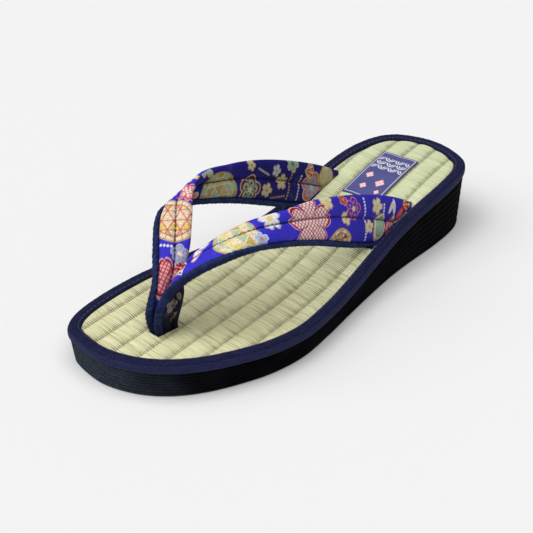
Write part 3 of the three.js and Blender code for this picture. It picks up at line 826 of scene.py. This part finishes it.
def print_ball(cloth, x, y, size, inks):
    """Thread ball: a disc cut into triangles by three sets of lines, each set
    turned sixty degrees; the triangles take the inks in turn, thread between,
    and a rim is cut by angle into sixteen petals of two inks."""
    reach = np.hypot(x, y)
    disc = inside(reach - size)
    step = 0.46 * size
    turns = [k * math.pi / 3 for k in range(3)]
    lines = [(x * math.cos(turn) + y * math.sin(turn)) / step + 0.02 for turn in turns]
    patch = sum(np.floor(line) * weight for line, weight in zip(lines, (3, 4, 6))).astype(int) % 5
    for k in range(5):
        lay(cloth, disc * (patch == k), inks[k])
    near_line = np.min([np.abs(line - np.round(line)) for line in lines], axis=0) * step
    lay(cloth, disc * inside(near_line - 0.22), inks[5])
    half_line = np.min([np.abs((line - 0.5) - np.round(line - 0.5)) for line in lines], axis=0) * step
    lay(cloth, disc * inside(half_line - 0.10) * 0.55, inks[5])
    sector = np.arctan2(y, x) * 8 / math.pi
    rim = disc * inside(0.76 * size - reach)
    for k in range(2):
        lay(cloth, rim * (np.floor(sector) % 2 == k), inks[2 * k])
    lay(cloth, rim * inside(np.abs(sector - np.round(sector)) * reach * math.pi / 8 - 0.15), inks[5])
    lay(cloth, inside(np.abs(reach - 0.76 * size) - 0.22), inks[5])
    lay(cloth, inside(np.abs(reach - size + 0.35) - 0.35), INK["gold"])


def print_spotted(cloth, x, y, size, inks):
    """Large cherry blossom filled with tie-dye spots: pale squares in a slanting
    net, where both sines stand clear of zero, a dark edge and a pale outline."""
    fill, spot, edge_ink, line = inks
    reach, angle = np.hypot(x, y), np.arctan2(y, x)
    swing = np.abs(np.cos(2.5 * angle))
    tip = np.exp(-((np.sin(2.5 * angle) / 0.16) ** 2)) * 0.16
    edge = reach - size * (0.50 + 0.50 * swing ** 0.6 - tip)
    lay(cloth, inside(edge), line)
    lay(cloth, inside(edge + 0.7), edge_ink)
    lay(cloth, inside(edge + 1.6), fill)
    net = np.minimum(*(np.abs(np.sin(math.pi * way / SPOT_PITCH)) for way in (x + y, x - y)))
    lay(cloth, inside(edge + 2.0) * smooth_step(0.25, 0.62, net), spot)
    groove = inside(np.abs(np.cos(2.5 * angle)) * reach - 0.45)
    groove = groove * (reach < 0.62 * size) * (reach > 0.2 * size)
    lay(cloth, groove * inside(edge), edge_ink)


def print_fan(cloth, x, y, size, inks):
    """Folding fan: stripes by angle across a wedge, with a rim at its arc."""
    reach, angle = np.hypot(x + 0.15 * size, y), np.arctan2(y, x + 0.15 * size)
    wedge = np.maximum(reach - size, (np.abs(angle) - 0.85) * np.maximum(reach, 1))
    lay(cloth, inside(wedge), inks[3])
    stripe = np.floor((angle + 0.85) / 0.17).astype(int) % 3
    for k in range(3):
        lay(cloth, inside(wedge + 0.5) * (stripe == k), inks[k])
    lay(cloth, inside(np.abs(reach - 0.68 * size) - 0.25) * inside(wedge + 0.5), inks[3])


def print_petal(cloth, x, y, size, inks):
    """Single petal: an oval with a rim and a vein down its middle."""
    fill, line = inks
    oval = (np.hypot(x / size[0], y / size[1]) - 1) * min(size)
    lay(cloth, inside(oval), line)
    lay(cloth, inside(oval + 0.55), fill)
    lay(cloth, inside(np.abs(y) - 0.15) * inside(oval + 0.8), line)


PRINTERS = {
    "blossom": print_blossom, "plum": print_plum, "ball": print_ball,
    "spotted": print_spotted, "fan": print_fan, "petal": print_petal,
}


def print_cloth(along, across, tone_and_painted_light, chart, under):
    """Blue ground with every motif of the chart laid over it in turn; painted shade
    makes the cloth on the underside of a strap a deeper blue with duller inks, darkens
    it to near black near the toe post and dims it towards the rear ends."""
    # painted shade: underside faces start from a deeper blue ground
    cloth = INK["shaded_ground" if under else "ground"] * tone_and_painted_light[:, None]
    for kind, p, q, size, turn, names in chart:
        inks = [INK[name] for name in names.split()]
        if kind == "dots":
            way = np.array([size[0] - p, size[1] - q])
            length = np.linalg.norm(way)
            way = way / length
            run = np.clip((along - p) * way[0] + (across - q) * way[1], 0, length)
            nearest = np.round(run / DOT_PITCH) * DOT_PITCH
            gap = np.hypot(along - p - nearest * way[0], across - q - nearest * way[1])
            lay(cloth, inside(gap - DOT_RADIUS), inks[0])
            continue
        c, s = math.cos(math.radians(turn)), math.sin(math.radians(turn))
        x, y = along - p, across - q
        near = np.hypot(x, y) < 1.6 * np.max(size)
        part = cloth[near]
        PRINTERS[kind](part, (c * x + s * y)[near], (c * y - s * x)[near], size, inks)
        cloth[near] = part
    cloth *= tone_and_painted_light[:, None] * (UNDER_SHADE if under else 1.0)
    return np.concatenate([cloth, np.ones((len(cloth), 1))], 1)


def band_skin(side):
    """Closed sections along a strap. Each face is two lobes (the root of one
    less a power), pinched to a seam between them, with small gathers along the
    seam; the faces meet in the fold of each edge."""
    path = strap_path(STRAP_EDGES[side], STRAP_ROWS, STRAP_FOOT)
    f = np.linspace(0, 1, STRAP_ACROSS + 1)
    f = 0.55 * f + 0.45 * (0.5 - 0.5 * np.cos(np.pi * f))
    lobe = np.sqrt(np.maximum(1 - np.abs(2 * ((2 * f) % 1.0) - 1) ** 2.6, 0))
    lobe[[0, -1]] = 0
    pinch = BAND_SEAM * ((f > 0.25) & (f < 0.75))
    half = np.maximum(BAND_PUFF * lobe, pinch)
    trim = np.interp(path["run"], TRIM_AT, STRAP_TRIM[side]) / path["square"]
    half_span = 0.5 * (path["width"] - BAND_START)
    thin = 0.75 + 0.25 * smooth_step(0.0, 0.16, path["share"])
    rear_span = (half_span - trim)[:, None] * np.maximum(2 * f - 1, 0)[None, :]
    from_seam = half_span[:, None] * np.minimum(2 * f - 1, 0)[None, :] + rear_span
    w = BAND_START + half_span[:, None] + from_seam
    flat = w - 0.5 * path["width"][:, None]
    along = path["run"][:, None] + flat * path["skew"][:, None]
    across = flat * path["square"][:, None]
    by_seam = np.exp(-(((f - 0.5) / 0.10) ** 2))[None, :]
    gather = 0.16 * np.sin(along * 2.1 + np.sin(along * 0.37)) * by_seam
    slack = 0.20 * np.sin(along * 0.42 + 3 * f[None, :]) * np.sin(2 * np.pi * f)[None, :] ** 2
    lift = thin[:, None] * half[None, :] + np.where(half > 0.3, gather + slack, 0.0)
    lift = np.clip(lift, 0, BAND_PUFF + 0.15)
    base = path["front"][:, None, :] + path["wide"][:, None, :] * w[..., None]
    over = base + path["face"][:, None, :] * lift[..., None]
    under = base - path["face"][:, None, :] * lift[..., None]
    faces = ("top", "under") if side == "outer" else ("under", "top")
    inks = []
    for name, (start, end) in zip(faces, TOE_SHADE[side]):
        # painted shade near the toe post and towards the rear ends
        tone_and_painted_light = TOE_DARK + (1 - TOE_DARK) * smooth_step(start, end, along)
        tone_and_painted_light = tone_and_painted_light * (1 - HEEL_DARK * smooth_step(*HEEL_SHADE, along))
        flat_cloth = [values.ravel() for values in (along, across, tone_and_painted_light)]
        cloth = print_cloth(*flat_cloth, CHARTS[(side, name)], name == "under")
        inks.append(cloth.reshape(along.shape + (4,)))
    back = slice(-2, 0, -1)
    points = np.concatenate([over, under[:, back]], 1)
    colours = np.concatenate([inks[0], inks[1][:, back]], 1)
    seam = from_seam * path["square"][:, None]
    cloth = np.stack([along, across, seam], -1)
    cloth = np.concatenate([cloth, cloth[:, back]], 1)
    return points, colours, cloth


def strap_print():
    """Printed crepe: the inks over a fine pebbled weave, with a dark sewn line along the middle,
    partly thread and partly painted shadow in its groove, and small stitches along it."""
    f = Finish("strap_print")
    inks = f.field("print", out=0)
    along, across, seam = f.split(f.field("cloth"))
    flat = f.join(along, across, 0.0)
    pebble = f.noise(f.join(along * 1.9, across * 1.3, 0.0), 1.0, 2.0, 0.6)
    weave = (along * 11.0).math("SINE") * (across * 11.0).math("SINE")
    fade = f.noise(flat, 0.12, 2.0)
    speck = f.noise(flat, 1.25, 2.0, 0.55).step(0.52, 0.66) * f.split(inks)[1].step(0.12, 0.40)
    shade = (pebble + weave * 0.08).spread(0.25, 0.8, 0.72, 1.12)
    base = f.mix(1.0, inks, f.join(shade, shade, shade), "MULTIPLY")
    base = f.mix(fade.step(0.55, 0.85) * 0.10, base, CREPE_FADE)
    base = f.mix(speck * 0.42, base, CREPE_SPECK)
    # painted shadow in the seam groove, with the thread; lighter where the stitches stand
    line = seam.math("ABSOLUTE").step(0.55, 0.15)
    step = (along / CREPE_STITCH).math("FRACT")
    stitch = step.step(0.15, 0.3) * step.step(0.85, 0.7)
    base = f.mix(line * (0.85 - stitch * 0.35), base, CREPE_SEAM_THREAD_AND_SHADOW)
    rough = 0.58 + pebble * 0.25
    return f.surface(
        base, rough,
        [(pebble, 0.55, 0.00025), (weave, 0.3, 0.0001), (1.0 - line * (1.0 - stitch * 0.6), 0.6, 0.0004)],
        specular_ior_level=0.2,
    )


crepe = strap_print()
for strap_side in STRAP_EDGES:
    band_points, band_inks, band_cloth = band_skin(strap_side)
    band = put_tube("strap_" + strap_side, band_points, print=band_inks, cloth=band_cloth)
    band.data.materials.append(crepe)
    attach(band, "root")
    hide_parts("hanao")

# Piping: a soft cord covered in plain navy bias cloth, sewn along the front
# edge of each strap and led with it down into the mat at both ends.
PIPING_ROWS = 460
PIPING_AROUND = 26
PIPING_WIDTH = 4.2
PIPING_HALF_THICK = 2.05
PIPING_TOE_HALF = 1.4
PIPING_NAVY = (0.0050, 0.0085, 0.042, 1.0)
# paler blue: real fading in random patches, and the painted highlight on the cord's crests
PIPING_PALE_AND_LIT = (0.018, 0.034, 0.125, 1.0)


def piping_tube(side):
    """An oval section carried along the strap's front edge, flatter at the toe,
    with slight gathers: sines of the distance along the cord."""
    path = strap_path(STRAP_EDGES[side], PIPING_ROWS, STRAP_FOOT)
    turn = np.linspace(0, 2 * np.pi, PIPING_AROUND, endpoint=False)[None, :]
    half = PIPING_TOE_HALF + (PIPING_HALF_THICK - PIPING_TOE_HALF) * smooth_step(0.0, 0.14, path["share"])
    run = path["run"][:, None]
    gather = 1 + 0.07 * np.sin(run * 2.2 + turn) + 0.03 * np.sin(run * 0.9 + 2 * turn)
    w = 0.5 * PIPING_WIDTH * (1 - np.cos(turn) * gather)
    lift = half[:, None] * np.sin(turn) * gather
    points = (
        path["front"][:, None, :] + path["wide"][:, None, :] * w[..., None]
        + path["face"][:, None, :] * lift[..., None]
    )
    cord = np.stack([np.broadcast_to(run, w.shape), np.broadcast_to(turn * 2.0, w.shape), lift], -1)
    return points, cord


def piping_cloth():
    """Navy bias cloth: a slanted fine weave, faded in random patches, with a painted highlight that makes
    it paler where the cord stands up.
    """
    f = Finish("piping_cloth")
    run, round_, lift = f.split(f.field("cord"))
    place = f.place()
    mottle = f.noise(place, 260.0, 3.0, 0.6)
    grain = f.noise(place, 1700.0, 2.0)
    weave = ((run + round_) * 7.0).math("SINE") * ((run - round_) * 7.0).math("SINE")
    # painted highlight on the crests of the cord
    crest_highlight = lift.math("ABSOLUTE").step(0.9, 2.1)
    tone_and_painted_light = (mottle.step(0.35, 0.7) * 0.55 + weave * 0.10 + crest_highlight * 0.35).math("MAXIMUM", 0.0)
    base = f.mix(tone_and_painted_light, PIPING_NAVY, PIPING_PALE_AND_LIT)
    rough = 0.58 + grain * 0.25
    return f.surface(
        base, rough, [(mottle, 0.5, 0.0005), (weave + grain, 0.4, 0.00015)],
        specular_ior_level=0.12,
    )


navy_bias = piping_cloth()
for strap_side in STRAP_EDGES:
    cord_points, cord_field = piping_tube(strap_side)
    piping = put_tube("piping_cord_" + strap_side, cord_points, cord=cord_field)
    piping.data.materials.append(navy_bias)
    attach(piping, "root")
    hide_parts("piping_" + strap_side)

# Label: a slip of slate-violet cloth glued flat on the mat at the heel, with a
# thin woven border, white wave arcs and a few pink lozenges.
LABEL_WIDTH = 22.2
LABEL_LENGTH = 42.8
LABEL_THICK = 0.6
LABEL_LIFT = 0.28
LABEL_CENTRE = (-6.2, 74.3)
LABEL_ROWS = 190
LABEL_COLUMNS = 100
LABEL_SLATE = ink(74, 76, 136)
LABEL_DEEP = ink(60, 62, 122)
LABEL_EDGE = (0.05, 0.05, 0.12, 1.0)
LOZENGES = ((-5.2, -3.0, 3.0), (3.8, -7.5, 3.6), (-3.4, -13.0, 2.6), (6.4, -15.2, 2.0))
WAVE_TOP = 15.5
WAVE_ROW = 4.2
WAVE_PITCH = 6.2


def label_sheet():
    """Flat grid laid on the footbed along the weave; the print is drawn from
    distances on it: arcs about a row of points, lozenges and a border."""
    t = (np.linspace(0, 1, LABEL_ROWS)[:, None] - 0.5) * LABEL_LENGTH
    s = (np.linspace(0, 1, LABEL_COLUMNS)[None, :] - 0.5) * LABEL_WIDTH
    t, s = np.broadcast_arrays(t, s)
    x = LABEL_CENTRE[0] + math.cos(WEAVE_TURN) * s - math.sin(WEAVE_TURN) * t
    y = LABEL_CENTRE[1] + math.sin(WEAVE_TURN) * s + math.cos(WEAVE_TURN) * t
    phase = (across_weave(x, y) - RIB_START) / RIB_PITCH
    sag = 0.12 * np.cos(2 * np.pi * phase)
    z = mat_top(x, y) + LABEL_LIFT + LABEL_THICK + 0.12 - sag
    cloth = np.repeat(LABEL_SLATE[None, :], t.size, 0)
    s1, t1 = s.ravel(), t.ravel()
    band = smooth_step(0.0, 1.0, np.sin(t1 * 0.5) * 0.5 + 0.5)
    lay(cloth, 0.35 * band, LABEL_DEEP)
    for row in range(3):
        middle_t = WAVE_TOP - WAVE_ROW * row
        for column in range(4):
            middle_s = (column - 1.5 + 0.5 * (row % 2)) * WAVE_PITCH
            gap = np.hypot(s1 - middle_s, t1 - middle_t)
            show = (t1 < middle_t + 0.3) & (np.abs(s1) < 9.4) & (t1 > middle_t - WAVE_ROW)
            for reach in (1.2, 2.5):
                lay(cloth, inside(np.abs(gap - reach) - 0.28) * show, INK["white"])
    for place_s, place_t, size in LOZENGES:
        lozenge = np.abs(s1 - place_s) * 1.25 + np.abs(t1 - place_t) - size
        lay(cloth, inside(lozenge), INK["pink"])
        lay(cloth, inside(np.abs(lozenge + 0.45 * size) - 0.2), INK["white"])
    rim = np.minimum(0.5 * LABEL_WIDTH - np.abs(s1), 0.5 * LABEL_LENGTH - np.abs(t1))
    lay(cloth, inside(np.abs(rim - 1.0) - 0.2) * 0.8, INK["white"])
    colour = np.concatenate([cloth, np.ones((len(cloth), 1))], 1).reshape(t.shape + (4,))
    return np.stack([x, y, z], -1), colour, np.stack([s, t, rim.reshape(t.shape)], -1)


def label_cloth():
    """Fine satin weave under the print, with a soft sheen and fuzzy edges."""
    f = Finish("label_cloth")
    inks = f.field("print", out=0)
    s, t, rim = f.split(f.field("slip"))
    thread = (t * 14.0).math("SINE") * (s * 14.0).math("SINE")
    fuzz = f.noise(f.join(s, t, 0.0), 1.6, 3.0)
    shade = (fuzz + thread * 0.1).spread(0.2, 0.8, 0.84, 1.08)
    base = f.mix(1.0, inks, f.join(shade, shade, shade), "MULTIPLY")
    base = f.mix(rim.step(0.5, 0.0) * 0.5, base, LABEL_EDGE)
    return f.surface(
        base, 0.5 + fuzz * 0.25, [(thread, 0.3, 0.0001), (fuzz, 0.3, 0.0002)],
        specular_ior_level=0.35, sheen_weight=0.15,
    )


label_points, label_print, label_slip = label_sheet()
label = slab_piece("heel_label", label_points, LABEL_THICK, print=label_print, slip=label_slip)
label.data.materials.append(label_cloth())
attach(label, "root")
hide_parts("label")
